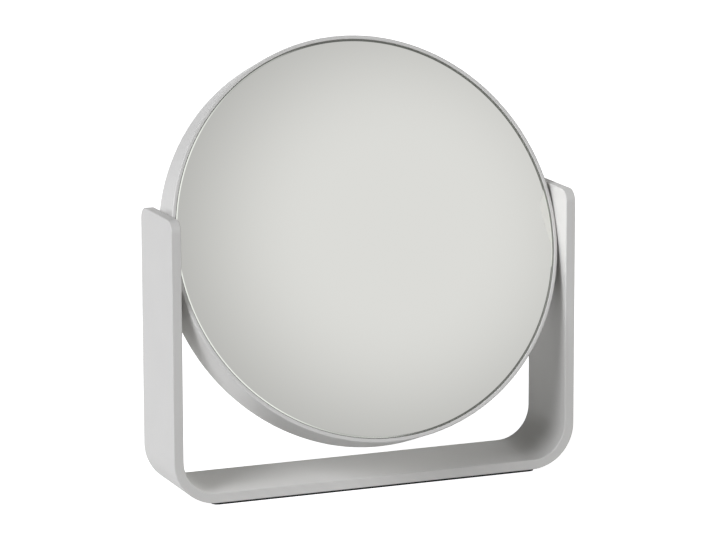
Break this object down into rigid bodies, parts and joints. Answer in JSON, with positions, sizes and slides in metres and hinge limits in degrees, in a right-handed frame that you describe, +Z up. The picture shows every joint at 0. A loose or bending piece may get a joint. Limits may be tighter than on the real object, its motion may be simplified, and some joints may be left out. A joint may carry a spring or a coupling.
{
  "type": "tilting table mirror",
  "caption": "Round two-sided table mirror, plain on one face and magnifying on the other, turning on side pivots between the uprights of a flat strip bent into a U-shaped stand.",
  "frame": {"origin": "on the table top, at the bottom centre of the whole mirror, under the middle of the stand", "axes": "+Z up; +X to the right along the pivot axis; the plain glass faces -Y"},
  "size_m": [0.1914, 0.0788, 0.1974],
  "materials": {
    "powder_coat": "warm light grey powder coat, fine soft texture, matt to satin",
    "band_paint": "warm light grey paint to match the stand, satin",
    "pad_rubber": "black elastic sheet, matt",
    "plain_mirror": "flat silvered glass with a polished bevel",
    "magnifying_mirror": "dished silvered glass with a polished bevel",
    "edge_tape": "black PVC edging tape, satin",
    "carrier_plastic": "moulded black plastic",
    "foam": "white adhesive foam",
    "acetal": "natural white acetal",
    "zinc_steel": "bright zinc plated steel",
    "spring_steel": "dark phosphated spring steel"
  },
  "bodies": {
    "stand": {"stand_yoke": "powder_coat", "base_pad": "pad_rubber", "thrust_washer_left": "acetal", "pivot_washer_left": "zinc_steel", "spring_washer_left": "spring_steel", "pivot_screw_left": "zinc_steel", "thrust_washer_right": "acetal", "pivot_washer_right": "zinc_steel", "spring_washer_right": "spring_steel", "pivot_screw_right": "zinc_steel"},
    "head": {"head_band": "band_paint", "plain_glass": "plain_mirror", "magnifying_glass": "magnifying_mirror", "front_edge_tape": "edge_tape", "rear_edge_tape": "edge_tape", "glass_carrier": "carrier_plastic", "front_foam_ring": "foam", "rear_foam_ring": "foam", "pivot_bush_left": "acetal", "pivot_bush_right": "acetal", "carrier_screw_1": "zinc_steel", "carrier_screw_2": "zinc_steel", "carrier_screw_3": "zinc_steel", "carrier_screw_4": "zinc_steel"}
  },
  "joints": [
    {"name": "head_tilt", "type": "hinge", "parent": "stand", "child": "head", "pos_m": [0, 0, 0.10847], "axis": [1, 0, 0], "continuous": true}
  ]
}
